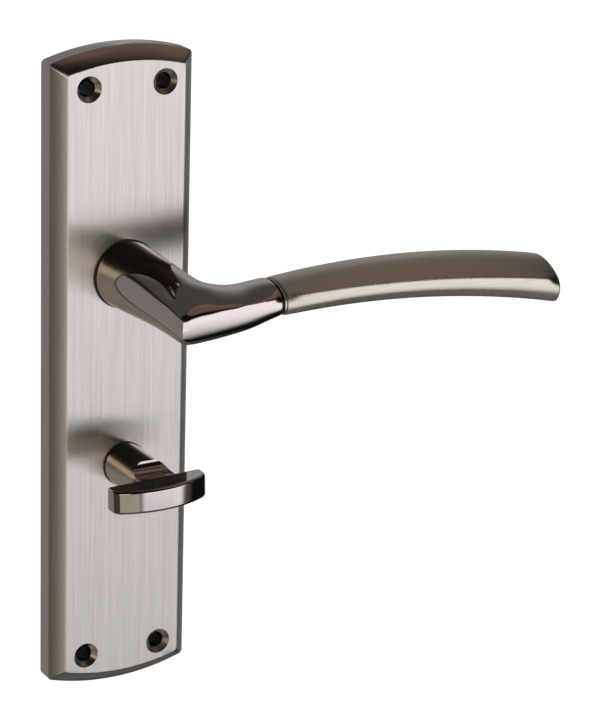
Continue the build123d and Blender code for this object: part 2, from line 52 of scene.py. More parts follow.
# ---- driving sizes, read from the frame where it has them
PLATE_LOW, PLATE_HIGH = (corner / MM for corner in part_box("backplate"))
PLATE_HALF_WIDTH = PLATE_HIGH.x
PLATE_CENTRE_Z = (PLATE_LOW.z + PLATE_HIGH.z) / 2
PLATE_HALF_HEIGHT = (PLATE_HIGH.z - PLATE_LOW.z) / 2
PLATE_DEPTH = -PLATE_LOW.y
END_RISE = 3.5
PLATE_SIDE = 5.3
BEVEL_WIDTH = 4.2
CORNER_RADIUS = 1.4
PLATE_WALL = 2.5
FACE_WALL = 2.2
SCREW_SPACING_X = 23.5
SCREW_SPACING_Z = 169.5
SCREW_HOLE_RADIUS = 2.2
COUNTERSINK_RADIUS = 3.8
SCREW_BOSS_RADIUS = 5.2
EDGE_SOFTNESS = 0.18
BEVEL_SWELL = 0.42

LEVER_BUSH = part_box("lever_bush")
TURN_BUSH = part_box("turn_bush")
TURN_Z = (TURN_BUSH[0].z + TURN_BUSH[1].z) / 2 / MM
FLANGE_GAP = 0.1
NECK_START = -LEVER_BUSH[0].y / MM + FLANGE_GAP
LEVER_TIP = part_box("lever_grip")[1].x / MM
JOINT_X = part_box("joint_ring")[0].x / MM
GRIP_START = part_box("joint_ring")[1].x / MM


# ---------------------------------------------------------------- mesh helpers
def deselect():
    bpy.ops.object.select_all(action="DESELECT")


def point(x, depth, z):
    """A place in the frame, in metres, from millimetres and a depth."""
    return Vector((x * MM, -depth * MM, z * MM))


def rolled(name, rings, closed=True):
    """Skin through closed rings of points: a grid rolled up, its seam merged, its ends filled."""
    around = len(rings[0])
    deselect()
    bpy.ops.mesh.primitive_grid_add(x_subdivisions=around, y_subdivisions=len(rings) - 1)
    piece = bpy.context.object
    piece.name = name
    for index, vertex in enumerate(piece.data.vertices):
        ring, step = divmod(index, around + 1)
        vertex.co = rings[ring][step % around]
    bpy.ops.object.mode_set(mode="EDIT")
    bpy.ops.mesh.select_all(action="SELECT")
    bpy.ops.mesh.remove_doubles(threshold=1e-7)
    if closed:
        bpy.ops.mesh.fill_holes(sides=0)
    bpy.ops.mesh.select_all(action="SELECT")
    bpy.ops.mesh.normals_make_consistent(inside=False)
    bpy.ops.object.mode_set(mode="OBJECT")
    return piece


def finish_with(piece, kind, **settings):
    """Adds a modifier and applies it."""
    deselect()
    piece.select_set(True)
    bpy.context.view_layer.objects.active = piece
    modifier = piece.modifiers.new(kind.title(), kind)
    for setting, value in settings.items():
        setattr(modifier, setting, value)
    bpy.ops.object.modifier_apply(modifier=modifier.name)


def smooth(piece, angle=30):
    deselect()
    piece.select_set(True)
    bpy.context.view_layer.objects.active = piece
    bpy.ops.object.shade_smooth_by_angle(angle=radians(angle))


def subdivide(piece, levels):
    finish_with(piece, "SUBSURF", levels=levels, render_levels=levels)


def soften(piece, width, segments=3, angle=30):
    """Small round on every crisp edge."""
    finish_with(
        piece, "BEVEL", width=width * MM, segments=segments, limit_method="ANGLE",
        angle_limit=radians(angle), harden_normals=False, miter_outer="MITER_ARC",
    )


def cylinder(radius, back, front, x=0.0, z=0.0, radius_front=None, sides=96):
    """Round bar along the depth, or a cone where the front radius differs."""
    deselect()
    bpy.ops.mesh.primitive_cone_add(
        vertices=sides,
        radius1=(radius if radius_front is None else radius_front) * MM,
        radius2=radius * MM,
        depth=(front - back) * MM,
        location=point(x, (front + back) / 2, z),
        rotation=(-pi / 2, 0, 0),
    )
    bpy.ops.object.transform_apply(location=True, rotation=True, scale=True)
    return bpy.context.object


def block(x_span, depth_span, z_span):
    """Square-edged box between pairs of x, depth and z."""
    deselect()
    bpy.ops.mesh.primitive_cube_add(size=1)
    piece = bpy.context.object
    spans = (x_span, depth_span, z_span)
    piece.scale = [(high - low) * MM for low, high in spans]
    piece.location = point(*((low + high) / 2 for low, high in spans))
    bpy.ops.object.transform_apply(location=True, rotation=True, scale=True)
    return piece


def crossbar(radius, middle, half_length, along):
    """Round bar across the depth, along X or Z, about a point."""
    deselect()
    turned = (0, pi / 2, 0) if along == "X" else (0, 0, 0)
    bpy.ops.mesh.primitive_cylinder_add(
        vertices=64, radius=radius * MM, depth=2 * half_length * MM,
        location=point(*middle), rotation=turned)
    bpy.ops.object.transform_apply(location=True, rotation=True, scale=True)
    return bpy.context.object


def joined(pieces, name="cutters"):
    deselect()
    for piece in pieces:
        piece.select_set(True)
    bpy.context.view_layer.objects.active = pieces[0]
    if len(pieces) > 1:
        bpy.ops.object.join()
    pieces[0].name = name
    return pieces[0]


def combine(piece, tool, operation):
    """Adds or cuts another solid, which is used up."""
    finish_with(piece, "BOOLEAN", object=tool, operation=operation, solver="EXACT")
    bpy.data.objects.remove(tool)


def arc(a, b, c, steps):
    """Points from a to just before c, on the circle through a, b and c."""
    (ax, ay), (bx, by), (cx, cy) = a, b, c
    turn = 2 * (ax * (by - cy) + bx * (cy - ay) + cx * (ay - by))
    squares = [x * x + y * y for x, y in (a, b, c)]
    ox = (squares[0] * (by - cy) + squares[1] * (cy - ay) + squares[2] * (ay - by)) / turn
    oy = (squares[0] * (cx - bx) + squares[1] * (ax - cx) + squares[2] * (bx - ax)) / turn
    start, middle, end = (atan2(y - oy, x - ox) for x, y in (a, b, c))
    full = 2 * pi
    if (end - start) % full < (middle - start) % full:
        sweep = (end - start) % full - full
    else:
        sweep = (end - start) % full
    radius = hypot(ax - ox, ay - oy)
    return [
        (ox + radius * cos(start + sweep * i / steps), oy + radius * sin(start + sweep * i / steps))
        for i in range(steps)
    ]


def place(piece, body, material, slot, *nodes):
    """Gives a finished piece its material and body, and hides the CAD nodes that it stands for; slot is not
    used.
    """
    piece.data.materials.clear()
    piece.data.materials.append(material)
    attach(piece, body)
    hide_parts(*nodes)
    return piece


def caged(name, rings, weight, levels=3):
    """Skins a coarse cage and smooths it; weight(ring, step, along) gives an edge's crease."""
    piece = rolled(name, rings)
    steps = {}
    for ring, places in enumerate(rings):
        for step, spot in enumerate(places):
            steps[tuple(round(value * 1e7) for value in spot)] = (ring, step)
    mesh = piece.data
    layer = mesh.attributes.new("crease_edge", "FLOAT", "EDGE")
    for edge in mesh.edges:
        ends = sorted(
            steps[tuple(round(value * 1e7) for value in mesh.vertices[i].co)] for i in edge.vertices)
        (ring, step), (other_ring, other_step) = ends
        along = ring != other_ring
        if not along and abs(step - other_step) > 1:
            step = other_step
        layer.data[edge.index].value = weight(ring, step, along)
    subdivide(piece, levels)
    return piece


# ---------------------------------------------------------------- materials
def linear(hex_colour):
    """sRGB hex to a linear colour."""
    channels = []
    for start in (1, 3, 5):
        value = int(hex_colour[start:start + 2], 16) / 255
        channels.append(value / 12.92 if value <= 0.04045 else ((value + 0.055) / 1.055) ** 2.4)
    return (*channels, 1.0)


def add(material, kind, sources=None, **settings):
    """Adds a node. Settings go to its properties or inputs; sources give inputs an output or a value."""
    tree = material.node_tree
    node = tree.nodes.new(kind)
    for name, value in settings.items():
        label = name.replace("_", " ").title()
        if label in node.inputs:
            node.inputs[label].default_value = value
        else:
            setattr(node, name, value)
    for name, source in (sources or {}).items():
        if isinstance(source, bpy.types.NodeSocket):
            tree.links.new(source, node.inputs[name])
        else:
            node.inputs[name].default_value = source
    return node


def new_material(name, colour, metallic, roughness, **shader):
    material = bpy.data.materials.new(name)
    material.use_nodes = True
    bsdf = material.node_tree.nodes["Principled BSDF"]
    bsdf.inputs["Base Color"].default_value = linear(colour)
    bsdf.inputs["Metallic"].default_value = metallic
    bsdf.inputs["Roughness"].default_value = roughness
    for name, value in shader.items():
        bsdf.inputs[name.replace("_", " ").title()].default_value = value
    return material, bsdf


BRUSH_SPREAD = 0.92


def grain(material, bsdf, spacing, length, along, rough, spread, depth, seed=0.0, spread_axis=None):
    """Brush lines: noise stretched along one axis, in roughness and bump.

    spacing and length are the width and run of a scratch in millimetres.
    """
    coordinates = add(material, "ShaderNodeTexCoord")
    scale = [1 / (spacing * MM)] * 3
    scale["XYZ".index(along)] = 1 / (length * MM)
    mapping = add(material, "ShaderNodeMapping", {
        "Vector": coordinates.outputs["Object"], "Scale": scale, "Location": (seed, seed, seed)})
    noise = add(material, "ShaderNodeTexNoise", {"Vector": mapping.outputs["Vector"]}, scale=1.0, detail=3.0)
    span = add(material, "ShaderNodeMapRange", {"Value": noise.outputs["Fac"]},
               from_min=0.3, from_max=0.7, to_min=rough - spread, to_max=rough + spread)
    bump = add(material, "ShaderNodeBump", {"Height": noise.outputs["Fac"]},
               strength=1.0, distance=depth * MM)
    links = material.node_tree.links
    links.new(span.outputs["Result"], bsdf.inputs["Roughness"])
    links.new(bump.outputs["Normal"], bsdf.inputs["Normal"])
    if spread_axis:
        tangent = add(material, "ShaderNodeTangent", direction_type="RADIAL", axis=spread_axis)
        links.new(tangent.outputs["Tangent"], bsdf.inputs["Tangent"])
        bsdf.inputs["Anisotropic"].default_value = BRUSH_SPREAD


def satin_nickel_plate():
    """Zinc casting, belt-brushed upright and nickel plated: soft streaks that spread light sideways."""
    # The second colour is painted shade: it is mixed in inside the four screw bores, which turn near black.
    nickel, bore_shade = "#D2CDC9", "#0C0A08"
    material, bsdf = new_material("brushed_satin_nickel", nickel, 1.0, 0.3)
    grain(material, bsdf, spacing=0.11, length=30, along="Z", rough=0.33, spread=0.06, depth=0.003,
          spread_axis="Z")
    colour = add(material, "ShaderNodeMix", data_type="RGBA")
    colour.inputs["A"].default_value = linear(nickel)
    colour.inputs["B"].default_value = linear(bore_shade)
    material.node_tree.links.new(screw_bore_shade(material), colour.inputs["Factor"])
    material.node_tree.links.new(colour.outputs["Result"], bsdf.inputs["Base Color"])
    return material


def screw_bore_shade(material):
    """1 inside the four screw holes, where the bores are painted near black as shade, 0 elsewhere."""
    coordinates = add(material, "ShaderNodeTexCoord")
    centred = add(material, "ShaderNodeMapping", {
        "Vector": coordinates.outputs["Object"], "Location": (0, 0, -PLATE_CENTRE_Z * MM)})
    folded = add(material, "ShaderNodeVectorMath", {0: centred.outputs["Vector"]}, operation="ABSOLUTE")
    placed = add(material, "ShaderNodeMapping", {
        "Vector": folded.outputs["Vector"],
        "Location": (-SCREW_SPACING_X / 2 * MM, 0, -SCREW_SPACING_Z / 2 * MM)})
    flat = add(material, "ShaderNodeVectorMath", {0: placed.outputs["Vector"], 1: (1, 0, 1)},
               operation="MULTIPLY")
    away = add(material, "ShaderNodeVectorMath", {0: flat.outputs["Vector"]}, operation="LENGTH")
    inside = add(material, "ShaderNodeMapRange", {"Value": away.outputs["Value"]},
                 from_min=(SCREW_HOLE_RADIUS + 0.1) * MM, from_max=(SCREW_HOLE_RADIUS + 0.25) * MM,
                 to_min=1.0, to_max=0.0)
    return inside.outputs["Result"]


def satin_nickel_grip():
    """The same plating brushed along the blade, a little browner than the plate."""
    material, bsdf = new_material("brushed_satin_nickel_grip", "#D4CEC2", 1.0, 0.29)
    grain(material, bsdf, spacing=0.12, length=40, along="X", rough=0.29, spread=0.04, depth=0.0005,
          seed=3.0, spread_axis="X")
    return material


def dark_nickel():
    """Black nickel over a mirror polish: deep tinted reflections with a trace of hand-buffed waviness."""
    material, bsdf = new_material("polished_dark_nickel", "#BBB2B2", 1.0, 0.05)
    coordinates = add(material, "ShaderNodeTexCoord")
    waves = add(material, "ShaderNodeTexNoise", {"Vector": coordinates.outputs["Object"]},
                scale=1 / (9 * MM))
    bump = add(material, "ShaderNodeBump", {"Height": waves.outputs["Fac"]},
               strength=0.1, distance=0.03 * MM)
    material.node_tree.links.new(bump.outputs["Normal"], bsdf.inputs["Normal"])
    return material


def black_nylon():
    """Moulded nylon: near black with a dull, slightly uneven skin."""
    material, bsdf = new_material("black_nylon", "#0B0A0A", 0.0, 0.45)
    coordinates = add(material, "ShaderNodeTexCoord")
    skin = add(material, "ShaderNodeTexNoise", {"Vector": coordinates.outputs["Object"]},
               scale=1 / (0.6 * MM))
    bump = add(material, "ShaderNodeBump", {"Height": skin.outputs["Fac"]}, strength=0.4, distance=0.02 * MM)
    material.node_tree.links.new(bump.outputs["Normal"], bsdf.inputs["Normal"])
    return material


def zinc_plated():
    """Bright zinc on rolled steel: blue-white metal with cloudy gloss."""
    material, bsdf = new_material("zinc_plated_steel", "#B9BCC0", 1.0, 0.35)
    grain(material, bsdf, spacing=1.2, length=3, along="Y", rough=0.34, spread=0.1, depth=0.004, seed=7.0)
    return material


def spring_steel():
    """Oiled spring wire and clips: dark grey drawn metal."""
    material, bsdf = new_material("oiled_spring_steel", "#5E5C59", 1.0, 0.3)
    grain(material, bsdf, spacing=0.3, length=0.8, along="X", rough=0.32, spread=0.08, depth=0.003,
          seed=11.0)
    return material


# ---------------------------------------------------------------- backplate
def plate_ring(inset, depth, corner=CORNER_RADIUS, end_steps=24, corner_steps=5):
    """Closed outline with arched ends and rounded corners, inset and at a depth."""
    rise_radius = (PLATE_HALF_WIDTH ** 2 + END_RISE ** 2) / (2 * END_RISE)
    half = PLATE_HALF_WIDTH - inset
    radius = rise_radius - inset
    centre = PLATE_HALF_HEIGHT - rise_radius
    inner = radius - corner
    corner_x = half - corner
    corner_angle = atan2(sqrt(inner ** 2 - corner_x ** 2), corner_x)
    corner_z = centre + inner * sin(corner_angle)
    quarter = []
    for step in range(corner_steps + 1):
        angle = corner_angle * step / corner_steps
        quarter.append((corner_x + corner * cos(angle), corner_z + corner * sin(angle)))
    for step in range(1, end_steps + 1):
        angle = corner_angle + (pi / 2 - corner_angle) * step / end_steps
        quarter.append((radius * cos(angle), centre + radius * sin(angle)))
    left = [(-x, z) for x, z in reversed(quarter[:-1])]
    upper = quarter + left
    lower = [(x, -z) for x, z in reversed(upper)]
    return [point(x, depth, PLATE_CENTRE_Z + z) for x, z in upper + lower]


LEVER_TUBE = (11.2, 9.4, 4.3)
TURN_TUBE = (7.8, 6.05, 5.2)
STOP_RADIUS = 1.8
STOP_ORBIT = 15.85
STOP_POSTS = ((75.2, 2.6), (149.8, 2.6), (54.0, 3.9))
COVER_POST_Z = 22.0
COVER_POST_RADIUS = 3.0
COVER_FRONT = 1.4
COVER_SCREW_RADIUS = 1.2
COVER_SCREW_END = 5.9


def screw_places():
    places = []
    for side in (-1, 1):
        for end in (-1, 1):
            places.append((side * SCREW_SPACING_X / 2, PLATE_CENTRE_Z + end * SCREW_SPACING_Z / 2))
    return places


def bevel_rings(steps=7):
    """The sloping border, swelling a little between its two edges."""
    slant = hypot(BEVEL_WIDTH, PLATE_DEPTH - PLATE_SIDE)
    rings = []
    for step in range(steps + 1):
        share = step / steps
        swell = BEVEL_SWELL * 4 * share * (1 - share)
        inset = BEVEL_WIDTH * share - swell * (PLATE_DEPTH - PLATE_SIDE) / slant
        depth = PLATE_SIDE + (PLATE_DEPTH - PLATE_SIDE) * share + swell * BEVEL_WIDTH / slant
        rings.append(plate_ring(max(inset, 0), min(depth, PLATE_DEPTH)))
    return rings


def plate_shell():
    """The casting's walls: outside and hollow back in one skin."""
    bevel_depth = PLATE_DEPTH - PLATE_SIDE
    slope = BEVEL_WIDTH / bevel_depth
    face_inner = PLATE_DEPTH - FACE_WALL
    shift = FACE_WALL * hypot(BEVEL_WIDTH, bevel_depth) / bevel_depth
    knee = PLATE_SIDE + (PLATE_WALL - shift) / slope
    inner_corner = CORNER_RADIUS / 2
    return rolled("backplate_casting", [
        plate_ring(shift + (face_inner - PLATE_SIDE) * slope, face_inner, inner_corner),
        plate_ring(PLATE_WALL, knee, inner_corner),
        plate_ring(PLATE_WALL, 0, inner_corner),
        plate_ring(0, 0),
        *bevel_rings(),
    ])


def backplate():
    plate = plate_shell()
    inside = PLATE_DEPTH - FACE_WALL + 0.4
    lever_outer, lever_bore, lever_back = LEVER_TUBE
    turn_outer, turn_bore, turn_back = TURN_TUBE
    posts = [cylinder(lever_outer, lever_back, inside), cylinder(turn_outer, turn_back, inside, z=TURN_Z)]
    for x, z in screw_places():
        posts.append(cylinder(SCREW_BOSS_RADIUS, 0, inside, x, z, sides=48))
    for z in (-COVER_POST_Z, COVER_POST_Z):
        posts.append(cylinder(COVER_POST_RADIUS, COVER_FRONT, inside, z=z, sides=48))
    for angle, back in STOP_POSTS:
        x, z = STOP_ORBIT * cos(radians(angle)), -STOP_ORBIT * sin(radians(angle))
        posts.append(cylinder(STOP_RADIUS, back, inside, x, z, sides=48))
    combine(plate, joined(posts), "UNION")

    cuts = [cylinder(lever_bore, -1, PLATE_DEPTH + 1), cylinder(turn_bore, -1, PLATE_DEPTH + 1, z=TURN_Z)]
    for x, z in screw_places():
        cuts.append(cylinder(SCREW_HOLE_RADIUS, -1, PLATE_DEPTH - 1, x, z, sides=64))
    for z in (-COVER_POST_Z, COVER_POST_Z):
        cuts.append(cylinder(COVER_SCREW_RADIUS, -1, COVER_SCREW_END, z=z, sides=32))
    combine(plate, joined(cuts), "DIFFERENCE")

    sink = COUNTERSINK_RADIUS - SCREW_HOLE_RADIUS
    sinks = []
    for x, z in screw_places():
        start = PLATE_DEPTH - sink - 0.8
        sinks.append(cylinder(
            SCREW_HOLE_RADIUS - 0.8, start, PLATE_DEPTH + 0.4, x, z, COUNTERSINK_RADIUS + 0.4, sides=64))
    combine(plate, joined(sinks), "DIFFERENCE")
    soften(plate, EDGE_SOFTNESS, segments=2)
    smooth(plate)
    finish_with(plate, "WEIGHTED_NORMAL", keep_sharp=True, weight=100)
    return plate


def flanged_bush(name, bore, body, flange_radius, flange, back, z):
    """Bush with its flange on the plate's face, turned as one ring."""
    section = [
        (bore, back), (body, back), (body, PLATE_DEPTH), (flange_radius, PLATE_DEPTH),
        (flange_radius, PLATE_DEPTH + flange), (bore, PLATE_DEPTH + flange),
    ]
    rings = []
    for radius, depth in section + section[:1]:
        rings.append([
            point(radius * cos(2 * pi * step / 96), depth, z + radius * sin(2 * pi * step / 96))
            for step in range(96)
        ])
    bush = rolled(name, rings, closed=False)
    soften(bush, 0.12, segments=2)
    smooth(bush)
    return bush


# ---------------------------------------------------------------- lever sections
# A section is twelve cage points round the lever. Across the section, "reach" runs from
# the back to the front of the arm, and the first four points are its front side.
CAGE_SHRINK = 1.047


def arm_cage(back, front, top, crease_z, bottom, low=2.2):
    """Broad top, crease, upright front, lower edge of a given radius, round back."""
    return [
        (front - 0.25, crease_z),
        (front, crease_z - (crease_z - bottom) * 0.38),
        (front - 0.12 * low, bottom + 1.05 * low),
        (front - 0.6 * low, bottom + 0.25 * low),
        (front - 1.7 * low, bottom - 0.1),
        ((front + back) / 2, bottom - 0.3),
        (back + 3.8, bottom + 0.3),
        (back + 0.7, bottom + 2.6),
        (back - 0.2, (top + bottom) / 2),
        (back + 1.2, top - 2.3),
        (back + 4.5, top),
        (back + 10.5, top - 0.4),
    ]


def round_cage(back, front, top, bottom):
    wide = (front - back) / 2 * CAGE_SHRINK
    tall = (top - bottom) / 2 * CAGE_SHRINK
    points = []
    for step in range(12):
        angle = radians(15 - 30 * step)
        points.append(((front + back) / 2 + wide * cos(angle), (top + bottom) / 2 + tall * sin(angle)))
    return points


def mixed(first, second, share):
    return [(a[0] + (b[0] - a[0]) * share, a[1] + (b[1] - a[1]) * share) for a, b in zip(first, second)]


def shrunk(points, inset):
    """A section drawn in towards its middle."""
    middle = Vector((sum(p[0] for p in points), sum(p[1] for p in points))) / len(points)
    found = []
    for spot in points:
        arm = Vector(spot) - middle
        found.append(tuple(middle + arm * (1 - inset / arm.length)))
    return found


TOP_LINE = (4.6, 8.4, 14.4)
CREASE_LINE = (1.6, 2.4, 9.8)
BOTTOM_LINE = (-4.8, 4.5, 13.4)
GRIP_BACK = (35.0, 31.2)
GRIP_FRONT = (51.3, 50.4)


def line_height(line, share):
    start, rise, fall = line
    return start + rise * share - fall * share ** 2


GRIP_LEAN = 0.45
GRIP_BRIM = 0.02


def grip_cage(share):
    """Section of the grip: a gently hollow top, and a front that turns under in its lower half."""
    back = GRIP_BACK[0] + (GRIP_BACK[1] - GRIP_BACK[0]) * share
    front = GRIP_FRONT[0] + (GRIP_FRONT[1] - GRIP_FRONT[0]) * share
    top = line_height(TOP_LINE, share)
    crease_z = line_height(CREASE_LINE, share)
    bottom = line_height(BOTTOM_LINE, share)
    found = arm_cage(back, front, top, crease_z, bottom)
    found[0] = (found[0][0] - GRIP_BRIM, found[0][1])
    found[1] = (found[1][0], (crease_z + bottom) / 2)
    lean = GRIP_LEAN * min(1, 3 * share)
    found[2] = (found[2][0] - lean, found[2][1])
    found[3] = (found[3][0] - lean, found[3][1])
    found[11] = (back + 11.0, top - 0.1)
    return found


def across_arm(x, found):
    return [point(x, depth, z) for depth, z in found]


# ---------------------------------------------------------------- grip and ring
GRIP_EDGE = 0.35
COLLAR_START = JOINT_X + 0.8
COLLAR_INSET = 0.35
COLLAR_NICK = 0.2


def lever_grip():
    shares = [0, 0.12, 0.26, 0.4, 0.54, 0.68, 0.82, 0.93, 1]
    length = LEVER_TIP - GRIP_START
    nick = GRIP_START - COLLAR_NICK
    rings = [
        across_arm(COLLAR_START, shrunk(grip_cage(0), COLLAR_INSET + 0.5)),
        across_arm(COLLAR_START, shrunk(grip_cage(0), COLLAR_INSET)),
        across_arm(nick, shrunk(grip_cage(0), COLLAR_INSET)),
        across_arm(nick, shrunk(grip_cage(0), COLLAR_INSET + 0.3)),
        across_arm(GRIP_START, shrunk(grip_cage(0), COLLAR_INSET + 0.3)),
    ]
    collar = len(rings)
    for share in shares:
        x = GRIP_START + length * share
        if share == 0:
            rings.append(across_arm(x, shrunk(grip_cage(share), GRIP_EDGE / 2)))
            x += GRIP_EDGE
        if share == 1:
            x -= GRIP_EDGE
        rings.append(across_arm(x, grip_cage(share)))
        if share == 1:
            rings.append(across_arm(LEVER_TIP, shrunk(grip_cage(share), GRIP_EDGE / 2)))
    rings.append(across_arm(LEVER_TIP, shrunk(grip_cage(1), 2 * GRIP_EDGE)))
    last = len(rings) - 1

    def weight(ring, step, along):
        if along and step == 0 and collar < ring < last - 2:
            return 0.92
        return 1.0 if not along and (ring < collar or ring == last) else 0.0

    grip = caged("lever_grip_blade", rings, weight)
    smooth(grip, 40)
    return grip


def joint_ring():
    cage = shrunk(grip_cage(0), 0.65)
    rings = [across_arm(x, cage) for x in (JOINT_X, COLLAR_START)]
    ring = caged("joint_ring_spacer", rings, lambda ring, step, along: 0.0 if along else 1.0)
    smooth(ring)
    return ring


# ---------------------------------------------------------------- neck
BEND_CENTRE = (18.5, 26.0)
BEND_RADIUS = 9.6
NECK_BASE_RADIUS = 9.85
KNUCKLE_CORNER = (-5.8, 54.5)
ARM_FRONT_SLOPE = -0.095
NECK_EDGE = 0.3


def left_side(depth):
    """How far left the neck's side is at a depth."""
    share = (depth - NECK_START) / (KNUCKLE_CORNER[1] - NECK_START)
    return -NECK_BASE_RADIUS + (KNUCKLE_CORNER[0] + NECK_BASE_RADIUS) * share


def bend_reach(angle):
    """Distance from the bend's centre to the outer side of the neck, at an angle round it."""
    centre_x, centre_depth = BEND_CENTRE
    corner_angle = atan2(KNUCKLE_CORNER[1] - centre_depth, centre_x - KNUCKLE_CORNER[0])
    if angle <= corner_angle:
        at_centre = centre_x - left_side(centre_depth)
        lean = (KNUCKLE_CORNER[0] - left_side(centre_depth)) / (KNUCKLE_CORNER[1] - centre_depth)
        return at_centre / (cos(angle) + lean * sin(angle))
    above = KNUCKLE_CORNER[1] + ARM_FRONT_SLOPE * (centre_x - KNUCKLE_CORNER[0]) - centre_depth
    return above / (sin(angle) + ARM_FRONT_SLOPE * cos(angle))


def neck_rings():
    """Rings up the shank, round the bend and along the arm."""
    centre_x, centre_depth = BEND_CENTRE
    base = round_cage(-NECK_BASE_RADIUS, NECK_BASE_RADIUS, NECK_BASE_RADIUS, -NECK_BASE_RADIUS)
    rings = []
    foot = ((NECK_START, 2 * NECK_EDGE), (NECK_START, NECK_EDGE / 2), (NECK_START + NECK_EDGE, 0))
    for depth, inset in foot:
        rings.append([point(-u, depth, z) for u, z in shrunk(base, inset)])
    for depth, tall in ((14, 9.7), (20, 9.45)):
        right = 9.7 - (9.7 - (centre_x - BEND_RADIUS)) * (depth - 14) / (centre_depth - 14)
        found = round_cage(-right, -left_side(depth), tall, -tall)
        rings.append([point(-u, depth, z) for u, z in found])
    corner_angle = atan2(KNUCKLE_CORNER[1] - centre_depth, centre_x - KNUCKLE_CORNER[0])
    # angle round the bend, top, crease, bottom, lower radius, and how far the outside and the
    # inside are the arm's
    bends = (
        (0, 9.3, 2.0, -9.2, 5.0, 0.1, 0.0),
        (radians(18), 8.9, 2.2, -9.1, 4.5, 0.3, 0.08),
        (radians(34), 7.9, 2.4, -8.9, 3.8, 0.7, 0.2),
        (corner_angle, 6.5, 2.4, -8.8, 3.2, 1.0, 0.36),
        (radians(62), 5.2, 2.0, -8.5, 3.0, 1.0, 0.55),
        (radians(76), 4.4, 1.5, -7.8, 2.7, 1.0, 0.78),
        (radians(90), 4.1, 1.4, -7.0, 2.5, 1.0, 1.0),
    )
    for angle, top, crease_z, bottom, low, outside, inside in bends:
        outer = bend_reach(angle)
        round_part = round_cage(BEND_RADIUS, outer, top, bottom)
        arm_part = arm_cage(BEND_RADIUS, outer, top, crease_z, bottom, low)
        outside_part = mixed(round_part, arm_part, outside)
        middle_part = mixed(round_part, arm_part, (outside + inside) / 2)
        inside_part = mixed(round_part, arm_part, inside)
        found = outside_part[:4] + middle_part[4:5] + inside_part[5:]
        rings.append([
            point(centre_x - u * cos(angle), centre_depth + u * sin(angle), z) for u, z in found
        ])
    end = grip_cage(0)
    start = [(centre_depth + u, z) for u, z in found]
    rings.append(across_arm((centre_x + JOINT_X) / 2, mixed(start, end, 0.6)))
    rings.append(across_arm(JOINT_X - NECK_EDGE, end))
    rings.append(across_arm(JOINT_X, shrunk(end, NECK_EDGE / 2)))
    rings.append(across_arm(JOINT_X, shrunk(end, 2 * NECK_EDGE)))
    return rings


MITRE_RING = 8
BOSS_RADIUS = 8.0
BOSS_BACK = 0.3
BOSS_SHOULDER = 3.7
BOSS_FLATS = 6.0
BOSS_GROOVE = (7.0, 1.68, 2.52)
SOCKET_HALF = 4.05
SOCKET_END = 28.0
STUD_HOLE = (2.52, 44.0, 11.0)
GRUB_HOLE = (2.52, 17.0)


def lever_boss():
    """Bearing boss with its flats and clip groove, a little way into the casting."""
    boss = cylinder(BOSS_RADIUS, BOSS_BACK, NECK_START + 1)
    groove, back, front = BOSS_GROOVE
    ring = cylinder(BOSS_RADIUS + 1, back, front)
    combine(ring, cylinder(groove, back - 1, front + 1), "DIFFERENCE")
    combine(boss, ring, "DIFFERENCE")
    for side in (-1, 1):
        beyond = sorted((side * BOSS_FLATS, side * (BOSS_RADIUS + 1)))
        flat = block((-BOSS_RADIUS - 1, BOSS_RADIUS + 1), (BOSS_BACK - 1, BOSS_SHOULDER), beyond)
        combine(boss, flat, "DIFFERENCE")
    return boss


def hollow_neck(neck):
    """Cuts the spindle's socket, the grub screw's hole and the stud's hole."""
    socket = (-SOCKET_HALF, SOCKET_HALF)
    combine(neck, block(socket, (BOSS_BACK - 1, SOCKET_END), socket), "DIFFERENCE")
    stud_radius, stud_depth, stud_length = STUD_HOLE
    combine(neck, crossbar(stud_radius, (JOINT_X, stud_depth, 0), stud_length, "X"), "DIFFERENCE")
    grub_radius, grub_depth = GRUB_HOLE
    grub = crossbar(grub_radius, (0, grub_depth, -NECK_BASE_RADIUS + 1), NECK_BASE_RADIUS - 5, "Z")
    combine(neck, grub, "DIFFERENCE")


def lever_neck():
    rings = neck_rings()
    last = len(rings) - 1

    def weight(ring, step, along):
        if not along and ring in (0, last):
            return 1.0
        if not along and ring == MITRE_RING:
            return (0.5, 1.0, 0.8, 0.3)[step] if step < 4 else 0.0
        if along and step == 0 and MITRE_RING <= ring < last - 2:
            return min(0.85, 0.2 + 0.2 * (ring - MITRE_RING))
        return 0.0

    neck = caged("lever_neck_casting", rings, weight)
    combine(neck, lever_boss(), "UNION")
    hollow_neck(neck)
    smooth(neck, 40)
    return neck


# ---------------------------------------------------------------- turn
BAR_HALF_LENGTH = 14.7
BAR_HALF_HEIGHT = 3.5
BAR_BACK = 30.0
BAR_END_FRONT = 34.8
BAR_FRONT = 38.8
BAR_SHIFT = -1.2
BAR_DROP = 0.3
BAR_TILT = radians(1.6)
BAR_CORNER = 2.3
BAR_EDGE = 0.95
TURN_START = -TURN_BUSH[0].y / MM + FLANGE_GAP
TURN_SHANK_RADIUS = 6.4
SCALLOP_RADIUS = 3.3
SCALLOP_CENTRE = (27.6, 6.3)
TURN_BOSS_RADIUS = 5.0
TURN_BOSS_BACK = 1.5
TURN_GROOVE = (4.2, 2.68, 3.52)
TURN_SOCKET_HALF = 2.55
TURN_SOCKET_END = 16.0
PIN_HOLE = (0.77, 7.4)


def rounded(corner, before, after, reach, steps=5):
    """Points of a soft corner, from reach before it to reach after it."""
    corner, before, after = Vector(corner), Vector(before), Vector(after)
    start = corner + (before - corner).normalized() * reach
    end = corner + (after - corner).normalized() * reach
    points = []
    for step in range(steps + 1):
        share = step / steps
        points.append(tuple(start.lerp(corner, share).lerp(corner.lerp(end, share), share)))
    return points


